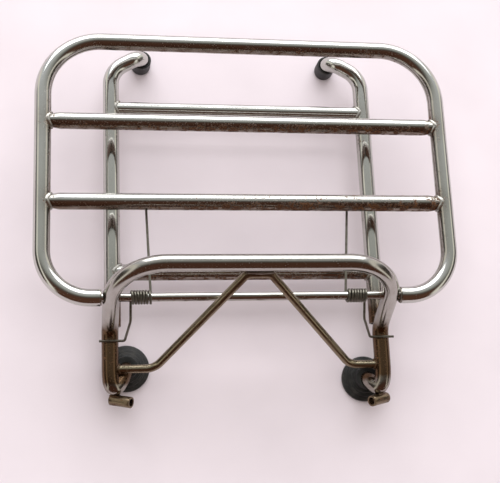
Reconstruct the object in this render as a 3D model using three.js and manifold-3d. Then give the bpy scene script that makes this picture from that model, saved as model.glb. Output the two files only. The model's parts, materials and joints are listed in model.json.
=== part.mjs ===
// Folding luggage rack for a scooter, in bent steel tube.
//
// A sprung carrier grid is hinged on a cross rod that runs through a fixed frame. The frame is one long
// hoop tube, two support legs with their tie bars, a V brace, two bolt sleeves and four rubber feet.
// The rack lies on its back with the carrier folded: X runs along the hinge, Y from the hinge towards
// the top of the carrier, Z upwards. Sizes are in millimetres. Y is measured from the hinge line and Z
// from the ground until the last lines, which move the origin under the middle of the rack.

import * as THREE from 'three';
import { mergeVertices } from 'three/addons/utils/BufferGeometryUtils.js';
import Module from 'manifold-3d';

const wasm = await Module();
wasm.setup();

// ---- driving dimensions -------------------------------------------------------------------------

const GAP = 0.3;                    // between pieces that are welded, pushed together or touching
const TUBE_R = 8;                   // main tube, 16 mm outside
const WALL = 1.5;
const UPPER_TIE_R = 7;
const ROD_R = 4;
const BRACE_R = 4;
const WIRE_R = 1.2;

const HINGE_Z = 70;                 // height of the hinge line and of the folded carrier
const CARRIER = {
  halfWidth: 196,                   // to the middle of the side tubes
  topY: 255,
  crossbarY: { lower: 92, upper: 172 },
  topCornerR: 56,
  bottomCornerR: 45,
};

const FRAME_Z = 28;                 // height of the support legs and of the hoop's lower legs
const HOOP = {
  halfWidth: 133,
  angle: THREE.MathUtils.degToRad(61),  // between the hoop and the folded carrier
  reach: 47,                        // from the hinge line to the top bar
  cornerR: 50,
  bendR: 16,
};
const FOOT = {
  at: { left: [-117, -57], right: [120, -72] },
  bendY: -60,
  legPull: 40,
  footPull: 18,
  steps: 9,
};
const LEG = {
  x: 130.5,
  lowerEndY: -20,
  bendY: 243,
  tipX: 98.5,
  tipY: 261,
  bendR: 25,
  tipBendR: 14,
};
const TIE_Y = { lower: 33, upper: 202 };
const BRACE = { y: -60.5, cornerX: 95.5, cornerShift: 4, cornerR: 18, topX: 11, topR: 8 };

const HINGE = { endClearance: 0.6, flangeR: 7.4, flangeT: 0.8, bushLength: 11, rodHalfLength: 156 };
const DISC = { r: 22.5, baseH: 4, stepR: 18, stepH: 7, ringR: 14.5, ringH: 9.5, hubR: 11, hubH: 16, floorT: 4.5 };
const CAP = { r: 10, h: 18, edge: 2, floorT: 4.5 };
const SLEEVE = {
  r: 5.3,
  boreR: 3.6,
  length: 22,
  at: { left: [-123, -90, 24], right: [128, -94.6, 24] },
  toward: [-0.84, -0.2, 0.5],
};
const SPRING = {
  coilR: 5.6,                       // to the middle of the wire
  pitch: 2.6,
  frameTurns: 6,
  jointTurns: 0.03,                 // between the frame's turns and the long arm's own turn
  jointRoom: 0.5,                   // spare room along the rod there, which closes as the carrier opens
  innerX: 93.1,                     // middle of the wire where the long arm leaves
  slide: -3,                        // of both coils along the rod, from their middle places
  tipX: 99,                         // where the long arm's tip goes into the crossbar
  hookY: -35,
  hookEndX: 143.5,
  tipBendR: 2.4,
  tipDepth: 4,                      // how far the long arm's tip goes into the crossbar
};

const TUBE_SIDES = 12;
const ROD_SIDES = 10;
const WIRE_SIDES = 6;
const BEND_STEP = THREE.MathUtils.degToRad(15);
const COIL_STEPS = 10;              // in each turn

const BORE_R = TUBE_R - WALL;
const HOOP_TOP = {
  y: HOOP.reach * Math.cos(HOOP.angle),
  z: HINGE_Z + HOOP.reach * Math.sin(HOOP.angle),
};
const HOOP_BEND_Y = -(HINGE_Z - FRAME_Z) / Math.tan(HOOP.angle);

const sides = { left: -1, right: 1 };

// ---- materials ----------------------------------------------------------------------------------

const chrome = new THREE.MeshStandardMaterial({ color: 0xc9c8c2, roughness: 0.2, metalness: 1 });
const dullSteel = new THREE.MeshStandardMaterial({ color: 0x7d6f5d, roughness: 0.45, metalness: 1 });
const springSteel = new THREE.MeshStandardMaterial({ color: 0x4d4c42, roughness: 0.4, metalness: 1 });
const rubber = new THREE.MeshStandardMaterial({ color: 0x1b1c1c, roughness: 0.7, metalness: 0 });
const bushSteel = new THREE.MeshStandardMaterial({ color: 0x8a8276, roughness: 0.4, metalness: 1 });

// ---- shapes -------------------------------------------------------------------------------------

// A route through listed points, which an extrusion follows point by point.
class Route extends THREE.Curve {
  constructor(points) {
    super();
    this.points = points;
  }

  getPoint(t, target = new THREE.Vector3()) {
    const along = t * (this.points.length - 1);
    const i = Math.min(Math.floor(along), this.points.length - 2);
    return target.lerpVectors(this.points[i], this.points[i + 1], along - i);
  }

  getUtoTmapping(u) {
    return u;
  }
}

// Straight runs between corners, each [x, y, z, bend radius], with an arc at every inner corner.
function bentLine(corners) {
  const at = corners.map(([x, y, z]) => new THREE.Vector3(x, y, z));
  return at.flatMap((corner, i) => {
    if (i === 0 || i === at.length - 1) return [corner];
    const back = at[i - 1].clone().sub(corner).normalize();
    const on = at[i + 1].clone().sub(corner).normalize();
    const half = back.angleTo(on) / 2;
    const radius = corners[i][3];
    const centre = back.clone().add(on).setLength(radius / Math.sin(half)).add(corner);
    const start = back.clone().multiplyScalar(radius / Math.tan(half)).add(corner).sub(centre);
    const turnAxis = new THREE.Vector3().crossVectors(on, back).normalize();
    const turn = Math.PI - 2 * half;
    const steps = Math.ceil(turn / BEND_STEP);
    return Array.from({ length: steps + 1 }, (_, k) =>
      start.clone().applyAxisAngle(turnAxis, turn * (k / steps)).add(centre));
  });
}

function circle(radius, facets) {
  const corner = (i) => {
    const angle = (2 * Math.PI * i) / facets;
    return new THREE.Vector2(radius * Math.cos(angle), radius * Math.sin(angle));
  };
  return Array.from({ length: facets }, (_, i) => corner(i));
}

// A round bar along a route, or a tube if it has a bore.
function bar(points, radius, facets = TUBE_SIDES, boreR = 0) {
  const section = new THREE.Shape(circle(radius, facets));
  if (boreR > 0) section.holes.push(new THREE.Path(circle(boreR, facets)));
  return new THREE.ExtrudeGeometry(section, { steps: points.length - 1, extrudePath: new Route(points) });
}

const tube = (points) => bar(points, TUBE_R, TUBE_SIDES, BORE_R);

function straight(from, to) {
  return [new THREE.Vector3(...from), new THREE.Vector3(...to)];
}

// Turned about Z from a profile of [radius, height] corners.
function turned(profile, facets = 24) {
  return new THREE.LatheGeometry(profile.map(([r, h]) => new THREE.Vector2(r, h)), facets).rotateX(Math.PI / 2);
}

function toSolid(geometry) {
  const bare = geometry.clone();
  bare.deleteAttribute('normal');
  bare.deleteAttribute('uv');
  const merged = mergeVertices(bare, 1e-4);
  return new wasm.Manifold(new wasm.Mesh({
    numProp: 3,
    vertProperties: new Float32Array(merged.attributes.position.array),
    triVerts: new Uint32Array(merged.index.array),
  }));
}

function cut(geometry, ...cutters) {
  const solid = cutters.reduce((left, cutter) => left.subtract(toSolid(cutter)), toSolid(geometry));
  const { vertProperties, triVerts } = solid.getMesh();
  const result = new THREE.BufferGeometry();
  result.setAttribute('position', new THREE.BufferAttribute(vertProperties, 3));
  result.setIndex(new THREE.BufferAttribute(triVerts, 1));
  result.computeVertexNormals();
  return result;
}

const rack = new THREE.Group();

function add(parent, name, geometry, material) {
  const mesh = new THREE.Mesh(geometry, material);
  mesh.name = name;
  parent.add(mesh);
}

// ---- the carrier, which folds about the hinge rod -----------------------------------------------

const carrier = new THREE.Group();
carrier.position.z = HINGE_Z;
rack.add(carrier);

const CARRIER_END_X = HOOP.halfWidth + TUBE_R + HINGE.endClearance + HINGE.flangeT + GAP;

function carrierLoop() {
  const { halfWidth: x, topY, topCornerR, bottomCornerR } = CARRIER;
  return tube(bentLine([
    [-CARRIER_END_X, 0, 0],
    [-x, 0, 0, bottomCornerR],
    [-x, topY, 0, topCornerR],
    [x, topY, 0, topCornerR],
    [x, 0, 0, bottomCornerR],
    [CARRIER_END_X, 0, 0],
  ]));
}

// A tie between two parallel tubes, with its ends hollowed to fit round them.
function tieTube(y, z, apartX, radius) {
  const rest = (x) => bar(straight([x, y - 2 * radius, z], [x, y + 2 * radius, z]), TUBE_R + GAP);
  const full = bar(straight([-apartX, y, z], [apartX, y, z]), radius, TUBE_SIDES, radius - WALL);
  return cut(full, rest(-apartX), rest(apartX));
}

function crossbar(y) {
  return tieTube(y, 0, CARRIER.halfWidth, TUBE_R);
}

function crossbarWithSpringHoles(y) {
  const hole = (x) => bar(straight([x, y, -TUBE_R - 1], [x, y, 0]), WIRE_R + GAP, ROD_SIDES);
  return cut(crossbar(y), hole(-SPRING.tipX), hole(SPRING.tipX));
}

// A flanged bush pushed into the open end of the carrier loop, running on the hinge rod.
function hingeBush(side) {
  const bore = ROD_R + GAP;
  const face = CARRIER_END_X - GAP - HINGE.flangeT;
  const profile = [
    [bore, face],
    [HINGE.flangeR, face],
    [HINGE.flangeR, face + HINGE.flangeT],
    [BORE_R - GAP, face + HINGE.flangeT],
    [BORE_R - GAP, face + HINGE.bushLength],
    [bore, face + HINGE.bushLength],
    [bore, face],
  ];
  return turned(profile, TUBE_SIDES).rotateY(side * Math.PI / 2);
}

// The long arm of a spring: its own last turn round the rod, then straight up behind the lower
// crossbar, with the tip turned into the crossbar's hole.
function springArm(side) {
  const x = (turns) => SPRING.slide + side * (SPRING.innerX + turns * SPRING.pitch);
  const tipX = side * SPRING.tipX;
  const behind = -(TUBE_R + WIRE_R + SPRING.tipBendR);
  const y = CARRIER.crossbarY.lower;
  const shaft = bentLine([
    [x(0), 0, -SPRING.coilR],
    [tipX, y, behind, SPRING.tipBendR],
    [tipX, y, SPRING.tipDepth - TUBE_R],
  ]);
  return bar([...coil(x, 1, 0).slice(0, -1), ...shaft], WIRE_R, WIRE_SIDES);
}

// Turns of wire round the hinge rod, from one turn count to another. Whole turns lie at the back.
function coil(x, from, to) {
  const steps = Math.round(Math.abs(to - from) * COIL_STEPS);
  return Array.from({ length: steps + 1 }, (_, k) => {
    const turns = from + ((to - from) * k) / steps;
    const angle = -Math.PI / 2 - 2 * Math.PI * turns;
    return new THREE.Vector3(x(turns), SPRING.coilR * Math.cos(angle), SPRING.coilR * Math.sin(angle));
  });
}

add(carrier, 'carrier_loop', carrierLoop(), chrome);
add(carrier, 'upper_crossbar', crossbar(CARRIER.crossbarY.upper), chrome);
add(carrier, 'lower_crossbar', crossbarWithSpringHoles(CARRIER.crossbarY.lower), chrome);
for (const [name, side] of Object.entries(sides)) {
  add(carrier, `${name}_hinge_bush`, hingeBush(side), bushSteel);
  add(carrier, `${name}_spring_arm`, springArm(side), springSteel);
}

// ---- the fixed frame ----------------------------------------------------------------------------

// The end of the hoop tube: down the leg, round inwards, and straight down into the disc foot. The
// two ends are bent by eye, so the left foot stands a little nearer to the hinge.
function footBend(name) {
  const legX = sides[name] * HOOP.halfWidth;
  const bend = new THREE.CubicBezierCurve3(
    new THREE.Vector3(legX, FOOT.bendY, FRAME_Z),
    new THREE.Vector3(legX, FOOT.bendY - FOOT.legPull, FRAME_Z),
    new THREE.Vector3(...FOOT.at[name], DISC.floorT + GAP + FOOT.footPull),
    new THREE.Vector3(...FOOT.at[name], DISC.floorT + GAP),
  );
  return bend.getPoints(FOOT.steps);
}

function hoopRoute() {
  const x = HOOP.halfWidth;
  const hoop = bentLine([
    [-x, FOOT.bendY, FRAME_Z],
    [-x, HOOP_BEND_Y, FRAME_Z, HOOP.bendR],
    [-x, HOOP_TOP.y, HOOP_TOP.z, HOOP.cornerR],
    [x, HOOP_TOP.y, HOOP_TOP.z, HOOP.cornerR],
    [x, HOOP_BEND_Y, FRAME_Z, HOOP.bendR],
    [x, FOOT.bendY, FRAME_Z],
  ]);
  return [...footBend('left').reverse(), ...hoop.slice(1, -1), ...footBend('right')];
}

const HOOP_ROUTE = hoopRoute();
const roundHoop = () => bar(HOOP_ROUTE, TUBE_R + GAP);

function hoopTube() {
  const rodHoles = bar(straight([-2 * HOOP.halfWidth, 0, HINGE_Z], [2 * HOOP.halfWidth, 0, HINGE_Z]),
    ROD_R + GAP, ROD_SIDES);
  return cut(tube(HOOP_ROUTE), rodHoles);
}

function legRoute(side) {
  return bentLine([
    [side * LEG.x, LEG.lowerEndY, FRAME_Z],
    [side * LEG.x, LEG.bendY, FRAME_Z, LEG.bendR],
    [side * LEG.tipX, LEG.tipY, FRAME_Z, LEG.tipBendR],
    [side * LEG.tipX, LEG.tipY, CAP.floorT + GAP],
  ]);
}

function vBrace() {
  const inHoop = HOOP.halfWidth;
  const below = TUBE_R + BRACE_R + GAP;
  const rise = new THREE.Vector2(HOOP_TOP.y - BRACE.y, HOOP_TOP.z - FRAME_Z).setLength(below);
  const top = { y: HOOP_TOP.y - rise.x, z: HOOP_TOP.z - rise.y };
  const rod = bar(bentLine([
    [-inHoop, BRACE.y, FRAME_Z],
    [BRACE.cornerShift - BRACE.cornerX, BRACE.y, FRAME_Z, BRACE.cornerR],
    [-BRACE.topX, top.y, top.z, BRACE.topR],
    [BRACE.topX, top.y, top.z, BRACE.topR],
    [BRACE.cornerShift + BRACE.cornerX, BRACE.y, FRAME_Z, BRACE.cornerR],
    [inHoop, BRACE.y, FRAME_Z],
  ]), BRACE_R, ROD_SIDES);
  return cut(rod, roundHoop());
}

// A short open sleeve for a fixing bolt, beside the foot bend.
function boltSleeve(name) {
  const [dx, dy, dz] = SLEEVE.toward;
  const side = sides[name];
  const half = new THREE.Vector3(side * dx, dy, dz).setLength(SLEEVE.length / 2);
  const middle = new THREE.Vector3(...SLEEVE.at[name]);
  const ends = [middle.clone().sub(half), middle.clone().add(half)];
  return cut(bar(ends, SLEEVE.r, TUBE_SIDES, SLEEVE.boreR), roundHoop());
}

// A stepped rubber disc whose hub takes the end of the hoop tube.
function discFoot(name) {
  const solid = turned([
    [0, 0],
    [DISC.r - 1, 0],
    [DISC.r, 1],
    [DISC.r, DISC.baseH],
    [DISC.stepR + 0.5, DISC.baseH + 1],
    [DISC.stepR, DISC.stepH],
    [DISC.ringR + 0.5, DISC.stepH + 0.5],
    [DISC.ringR, DISC.ringH],
    [DISC.hubR + 0.5, DISC.ringH + 0.5],
    [DISC.hubR, DISC.hubH - 1],
    [DISC.hubR - 1, DISC.hubH],
    [0, DISC.hubH],
  ]).translate(...FOOT.at[name], 0);
  const socket = new THREE.CylinderGeometry(TUBE_R + GAP, TUBE_R + GAP, DISC.hubH, TUBE_SIDES)
    .rotateX(Math.PI / 2)
    .translate(...FOOT.at[name], DISC.floorT + DISC.hubH / 2);
  return cut(solid, socket, roundHoop());
}

// A rubber cap over the tip of a support leg.
function tipCap(side) {
  const solid = turned([
    [0, 0],
    [CAP.r - CAP.edge, 0],
    [CAP.r - 0.6, 0.6],
    [CAP.r, CAP.edge],
    [CAP.r, CAP.h - 1],
    [CAP.r - 0.6, CAP.h],
    [0, CAP.h],
  ], 16).translate(side * LEG.tipX, LEG.tipY, 0);
  const socket = new THREE.CylinderGeometry(TUBE_R + GAP, TUBE_R + GAP, CAP.h, TUBE_SIDES)
    .rotateX(Math.PI / 2)
    .translate(side * LEG.tipX, LEG.tipY, CAP.floorT + CAP.h / 2);
  return cut(solid, socket, bar(legRoute(side), TUBE_R + GAP));
}

// A spring's coil on the rod, and its short arm, hooked across the front of the hoop's lower leg.
function springCoil(side) {
  const x = (turns) => SPRING.slide + side * (SPRING.innerX + SPRING.jointRoom + turns * SPRING.pitch);
  const outerX = x(1 + SPRING.frameTurns);
  const overLegZ = FRAME_Z - HINGE_Z + TUBE_R + WIRE_R + GAP;
  const cornerX = side * (HOOP.halfWidth - TUBE_R - 5.5);
  const shortArm = bentLine([
    [outerX, 0, -SPRING.coilR],
    [outerX, -20, -12, 8],
    [cornerX, SPRING.hookY, overLegZ, 2.5],
    [side * SPRING.hookEndX, SPRING.hookY, overLegZ],
  ]);
  const turns = coil(x, 1 + SPRING.jointTurns, 1 + SPRING.frameTurns);
  return bar([...turns.slice(0, -1), ...shortArm], WIRE_R, WIRE_SIDES).translate(0, 0, HINGE_Z);
}

const hingeRod = bar(straight([-HINGE.rodHalfLength, 0, HINGE_Z], [HINGE.rodHalfLength, 0, HINGE_Z]),
  ROD_R, ROD_SIDES);

add(rack, 'hoop_tube', hoopTube(), chrome);
add(rack, 'hinge_rod', hingeRod, chrome);
add(rack, 'lower_tie_bar', tieTube(TIE_Y.lower, FRAME_Z, LEG.x, TUBE_R), chrome);
add(rack, 'upper_tie_bar', tieTube(TIE_Y.upper, FRAME_Z, LEG.x, UPPER_TIE_R), chrome);
add(rack, 'v_brace', vBrace(), dullSteel);
for (const [name, side] of Object.entries(sides)) {
  add(rack, `${name}_support_leg`, cut(tube(legRoute(side)), roundHoop()), chrome);
  add(rack, `${name}_bolt_sleeve`, boltSleeve(name), dullSteel);
  add(rack, `${name}_disc_foot`, discFoot(name), rubber);
  add(rack, `${name}_tip_cap`, tipCap(side), rubber);
  add(rack, `${name}_spring_coil`, springCoil(side), springSteel);
}

// ---- the origin, on the ground under the middle of the rack -------------------------------------

const extent = new THREE.Box3().setFromObject(rack, true);
rack.position.y = -(extent.min.y + extent.max.y) / 2;

export default rack;
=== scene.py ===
"""Folding luggage rack: a sprung carrier grid hinged through a hooped frame, in bent, chromed steel tube.

Lengths are in metres. X runs along the hinge rod, Y towards the top of the folded carrier, Z upwards.
"""

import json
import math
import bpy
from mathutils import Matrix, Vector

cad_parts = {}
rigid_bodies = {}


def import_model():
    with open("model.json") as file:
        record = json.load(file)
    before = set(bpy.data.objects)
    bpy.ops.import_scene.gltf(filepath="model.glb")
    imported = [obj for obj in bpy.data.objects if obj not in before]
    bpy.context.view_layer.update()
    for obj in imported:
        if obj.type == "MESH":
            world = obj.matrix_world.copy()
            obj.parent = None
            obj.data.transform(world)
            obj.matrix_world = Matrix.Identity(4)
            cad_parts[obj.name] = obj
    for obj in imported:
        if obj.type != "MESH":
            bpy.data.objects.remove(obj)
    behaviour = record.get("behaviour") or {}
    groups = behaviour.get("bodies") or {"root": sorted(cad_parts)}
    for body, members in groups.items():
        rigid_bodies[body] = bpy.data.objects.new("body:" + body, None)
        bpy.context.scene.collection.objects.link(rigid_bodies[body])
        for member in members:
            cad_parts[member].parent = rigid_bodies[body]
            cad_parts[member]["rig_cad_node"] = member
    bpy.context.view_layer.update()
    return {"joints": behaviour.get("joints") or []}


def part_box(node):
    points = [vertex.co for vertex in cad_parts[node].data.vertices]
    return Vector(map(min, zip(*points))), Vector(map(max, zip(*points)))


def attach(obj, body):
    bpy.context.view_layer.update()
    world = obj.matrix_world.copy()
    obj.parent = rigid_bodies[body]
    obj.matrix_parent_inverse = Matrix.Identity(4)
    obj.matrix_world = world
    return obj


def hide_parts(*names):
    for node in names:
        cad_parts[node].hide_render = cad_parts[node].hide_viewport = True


bl_info = {
    "name": "Folding luggage rack",
    "version": (1, 0, 0),
    "blender": (4, 5, 0),
    "location": "View3D > Sidebar > Luggage rack",
    "description": "Builds a sprung folding luggage rack in bent and chromed steel tube",
    "category": "Add Mesh",
}

import bpy
from mathutils import Euler, Quaternion, Vector, noise
from mathutils.bvhtree import BVHTree

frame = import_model()

MM = 0.001
SIDES = {"left": -1, "right": 1}
X, Y, Z = range(3)
UP = Vector((0, 0, 1))

# ---- places and sizes read from the frame ---------------------------------------------------------


def low(node, axis):
    """The lowest that a CAD node reaches along an axis."""
    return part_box(node)[0][axis]


def high(node, axis):
    """The highest that a CAD node reaches along an axis."""
    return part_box(node)[1][axis]


def middle(node, axis):
    """Half way between the two."""
    return (low(node, axis) + high(node, axis)) / 2


HINGE = Vector(frame["joints"][0]["pos_m"])
TUBE_R = high("lower_crossbar", Z) - HINGE.z
UPPER_TIE_R = high("upper_tie_bar", Z) - middle("upper_tie_bar", Z)
ROD_R = high("hinge_rod", Z) - HINGE.z
FRAME_Z = middle("lower_tie_bar", Z)
CARRIER_X = high("carrier_loop", X) - TUBE_R
CARRIER_TOP_Y = high("carrier_loop", Y) - TUBE_R
CROSSBAR_Y = {name: middle(name, Y) for name in ("upper_crossbar", "lower_crossbar")}
HOOP_X = high("hoop_tube", X) - TUBE_R
HOOP_TOP_Y = high("hoop_tube", Y) - TUBE_R
HOOP_TOP_Z = high("hoop_tube", Z) - TUBE_R
HOOP_SLOPE = (HOOP_TOP_Z - HINGE.z) / (HOOP_TOP_Y - HINGE.y)
HOOP_BEND_Y = HINGE.y - (HINGE.z - FRAME_Z) / HOOP_SLOPE
LEG_X = high("right_support_leg", X) - TUBE_R
TIE_Y = {name: middle(name, Y) for name in ("upper_tie_bar", "lower_tie_bar")}
TIP = {name: Vector((middle(f"{name}_tip_cap", X), middle(f"{name}_tip_cap", Y), 0)) for name in SIDES}
DISC = {name: Vector((middle(f"{name}_disc_foot", X), middle(f"{name}_disc_foot", Y), 0)) for name in SIDES}
SLEEVE = {name: Vector([middle(f"{name}_bolt_sleeve", axis) for axis in (X, Y, Z)]) for name in SIDES}


# ---- colours --------------------------------------------------------------------------------------


def linear(hex_colour):
    """The linear RGB of an sRGB hex colour such as "#c9c8c2"."""
    channels = [int(hex_colour[i:i + 2], 16) / 255 for i in (1, 3, 5)]
    return [c / 12.92 if c <= 0.04045 else ((c + 0.055) / 1.055) ** 2.4 for c in channels]


def rgba(colour):
    """A solid colour, with the fourth number that sockets want."""
    return (*colour, 1.0)


def length(name, description, default):
    """A length that a user may change."""
    return bpy.props.FloatProperty(
        name=name, description=description, default=default, min=0.0, precision=5,
        unit="LENGTH", subtype="DISTANCE")


def colour(name, description, hex_colour):
    """A colour that a user may change."""
    return bpy.props.FloatVectorProperty(
        name=name, description=description, default=linear(hex_colour), min=0.0, max=1.0,
        size=3, subtype="COLOR")


# ---- settings -------------------------------------------------------------------------------------


class RackSizes(bpy.types.PropertyGroup):
    """Sizes of the rack's tubes, bends and fittings"""

    wall: length("Tube wall", "Wall of the main tubes", 1.5 * MM)
    crossbar_swage: bpy.props.FloatProperty(
        name="Crossbar swage", description="Share by which the crossbars narrow at their ends",
        default=0.16, min=0.0, max=0.5)
    brace_radius: length("Brace radius", "Half the thickness of the V brace", 4 * MM)
    wire_radius: length("Wire radius", "Half the thickness of the spring wire", 1.2 * MM)
    carrier_top_bend: length("Top corner bend", "Bend radius of the carrier's top corners", 56 * MM)
    carrier_low_bend: length("Low corner bend", "Bend radius of the carrier's hinge corners", 45 * MM)
    carrier_end: length("Carrier tube end", "From the middle of the rack to the carrier tube's open end",
                        142.7 * MM)
    hoop_bend: length("Hoop corner bend", "Bend radius of the hoop's corners", 50 * MM)
    hoop_leg_bend: length("Hoop leg bend", "Bend radius where the hoop meets its lower legs", 16 * MM)
    foot_bend_y: length("Foot bend", "From the hinge to where the lower legs start to bend", 60 * MM)
    foot_pull_leg: length("Foot bend reach", "How far the foot bend carries on along the leg", 40 * MM)
    foot_pull_disc: length("Foot bend drop", "How far the foot bend comes straight down", 18 * MM)
    leg_bend_y: length("Leg bend", "From the hinge to the bend at the top of a support leg", 243 * MM)
    leg_bend: length("Leg bend radius", "Bend radius at the top of a support leg", 25 * MM)
    tip_bend: length("Tip bend radius", "Bend radius where a support leg turns down", 14 * MM)
    leg_end_y: length("Leg lower end", "From the hinge back to the support legs' lower ends", 20 * MM)
    brace_y: length("Brace foot", "From the hinge to the brace's lower ends", 60.5 * MM)
    brace_corner_x: length("Brace corner", "From the middle to the brace's lower corners", 95.5 * MM)
    brace_shift: length("Brace shift", "How far both lower corners lie to the right", 4 * MM)
    brace_corner_bend: length("Brace corner bend", "Bend radius of the brace's lower corners", 18 * MM)
    brace_top_x: length("Brace top", "Half the width of the brace's flat top", 11 * MM)
    brace_top_bend: length("Brace top bend", "Bend radius at the brace's top", 8 * MM)
    sleeve_radius: length("Sleeve radius", "Outside radius of a bolt sleeve", 5.3 * MM)
    sleeve_bore: length("Sleeve bore", "Bore radius of a bolt sleeve", 3.6 * MM)
    sleeve_length: length("Sleeve length", "Length of a bolt sleeve", 22 * MM)
    coil_radius: length("Coil radius", "From the rod to the middle of the spring wire", 5.6 * MM)
    coil_pitch: length("Coil pitch", "From one turn of a spring to the next", 2.6 * MM)
    coil_inner_x: length("Coil start", "From the middle of the rack to a spring's first turn", 93.1 * MM)
    joint_room: length("Joint room", "Spare room between a long arm's own turn and the frame's turns",
                       0.5 * MM)
    coil_slide: length("Coil slide", "How far both springs have slid to the left", 3 * MM)
    arm_tip_x: length("Arm tip", "From the middle of the rack to the tip of a spring's long arm", 99 * MM)
    hook_y: length("Hook", "From the hinge to a spring's hook", 35 * MM)
    hook_end_x: length("Hook end", "From the middle of the rack to the hook's end", 143.5 * MM)
    weld_radius: length("Weld bead", "Half the thickness of a weld bead", 2.0 * MM)


class RackFinish(bpy.types.PropertyGroup):
    """Colours of the rack's finishes"""

    chrome: colour("Chrome", "Decorative chrome plate", "#c6c6c1")
    # This brown also paints shade on the bars' flanks turned from the window.
    film: colour("Brown film", "Thin brown rust film over the plate", "#604b38")
    rust_dark: colour("Dark rust", "Old rust in the pits", "#2c1a12")
    rust_light: colour("Light rust", "Fresh rust round the pits", "#8a5c38")
    brace: colour("Brace steel", "Dulled nickel plate on the brace", "#a0967f")
    wire: colour("Spring wire", "Oiled spring steel", "#77746a")
    rubber: colour("Rubber", "Moulded black rubber", "#1b1c1c")
    dust: colour("Dust", "Pale dust on the rubber", "#57534d")
    bush: colour("Bush steel", "Turned steel of the hinge bushes", "#9a948a")
    floor: colour("Floor", "Plain pale floor", "#ece1e7")


class StageSettings(bpy.types.PropertyGroup):
    """Camera and light"""

    lens: bpy.props.FloatProperty(
        name="Lens", description="Focal length of the camera in mm", default=71.7, min=1.0)
    camera_place: bpy.props.FloatVectorProperty(
        name="Camera place", description="From the hinge to the camera", default=(-0.1588, -0.1806, 0.9045),
        subtype="TRANSLATION", unit="LENGTH")
    camera_turn: bpy.props.FloatVectorProperty(
        name="Camera turn", description="How the camera is turned",
        default=[math.radians(a) for a in (14.68, -9.25, -2.40)], subtype="EULER", unit="ROTATION")
    window_power: bpy.props.FloatProperty(
        name="Window light", description="Power of the window in watts", default=450.0, min=0.0)
    fill_power: bpy.props.FloatProperty(
        name="Fill light", description="Power of the soft light overhead in watts", default=32.0, min=0.0)
    floor_size: length("Floor size", "Side of the floor", 6.0)


# ---- routes ---------------------------------------------------------------------------------------

BEND_STEP = math.radians(4)         # turn from one point of a bend to the next
STATION = 5 * MM                    # longest step along a tube
TUBE_SIDES = 40
ROD_SIDES = 28
WIRE_SIDES = 14
COIL_STEPS = 28                     # in each turn of a spring
FOOT_BEND_STEPS = 36
SOCKET_FLOOR = 4.8 * MM             # where a tube ends inside its rubber foot


def bent_line(corners):
    """Straight runs between corners (place, bend radius), with an arc at every inner corner."""
    places = [Vector(place) for place, _ in corners]
    route = [places[0]]
    for before, at, after, (_, radius) in zip(places, places[1:], places[2:], corners[1:]):
        back = (before - at).normalized()
        on = (after - at).normalized()
        half = back.angle(on) / 2
        centre = at + (back + on).normalized() * radius / math.sin(half)
        start = at + back * radius / math.tan(half) - centre
        turn = math.pi - 2 * half
        steps = math.ceil(turn / BEND_STEP)
        route += [centre + Quaternion(on.cross(back), turn * k / steps) @ start for k in range(steps + 1)]
    return route + [places[-1]]


def with_stations(route, step=STATION):
    """The same route, with points added so that none lie further apart than step."""
    points = [route[0]]
    for start, end in zip(route, route[1:]):
        parts = max(1, math.ceil((end - start).length / step))
        points += [start.lerp(end, k / parts) for k in range(1, parts + 1)]
    return points


def from_hinge(x, y, z=0.0):
    """A place given from the hinge line."""
    return Vector((x, HINGE.y + y, HINGE.z + z))


def hoop_route(sizes):
    """The hoop from the left foot, over the top, to the right foot."""
    y = HINGE.y - sizes.foot_bend_y
    over = bent_line([
        ((-HOOP_X, y, FRAME_Z), 0),
        ((-HOOP_X, HOOP_BEND_Y, FRAME_Z), sizes.hoop_leg_bend),
        ((-HOOP_X, HOOP_TOP_Y, HOOP_TOP_Z), sizes.hoop_bend),
        ((HOOP_X, HOOP_TOP_Y, HOOP_TOP_Z), sizes.hoop_bend),
        ((HOOP_X, HOOP_BEND_Y, FRAME_Z), sizes.hoop_leg_bend),
        ((HOOP_X, y, FRAME_Z), 0),
    ])
    ends = {name: foot_bend(sizes, name) for name in SIDES}
    return ends["left"][::-1] + over[1:-1] + ends["right"]


def foot_bend(sizes, name):
    """The hoop tube's end: down the lower leg, round inwards, and straight down into the disc foot."""
    leg = Vector((SIDES[name] * HOOP_X, HINGE.y - sizes.foot_bend_y, FRAME_Z))
    foot = DISC[name] + UP * SOCKET_FLOOR
    pull_leg = leg - Vector((0, sizes.foot_pull_leg, 0))
    pull_foot = foot + UP * sizes.foot_pull_disc
    bend = []
    for k in range(FOOT_BEND_STEPS + 1):
        t = k / FOOT_BEND_STEPS
        s = 1 - t
        bend.append(s ** 3 * leg + 3 * s * s * t * pull_leg + 3 * s * t * t * pull_foot + t ** 3 * foot)
    return bend


def leg_route(sizes, name):
    """A support leg, from behind the hoop's bend to inside its rubber cap."""
    x = SIDES[name] * LEG_X
    return bent_line([
        ((x, HINGE.y - sizes.leg_end_y, FRAME_Z), 0),
        ((x, HINGE.y + sizes.leg_bend_y, FRAME_Z), sizes.leg_bend),
        (TIP[name] + UP * FRAME_Z, sizes.tip_bend),
        (TIP[name] + UP * SOCKET_FLOOR, 0),
    ])


def carrier_route(sizes):
    """The carrier's loop, from its left end on the hinge line, over the top, to its right end."""
    return bent_line([
        (from_hinge(-sizes.carrier_end, 0), 0),
        (from_hinge(-CARRIER_X, 0), sizes.carrier_low_bend),
        ((-CARRIER_X, CARRIER_TOP_Y, HINGE.z), sizes.carrier_top_bend),
        ((CARRIER_X, CARRIER_TOP_Y, HINGE.z), sizes.carrier_top_bend),
        (from_hinge(CARRIER_X, 0), sizes.carrier_low_bend),
        (from_hinge(sizes.carrier_end, 0), 0),
    ])


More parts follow.
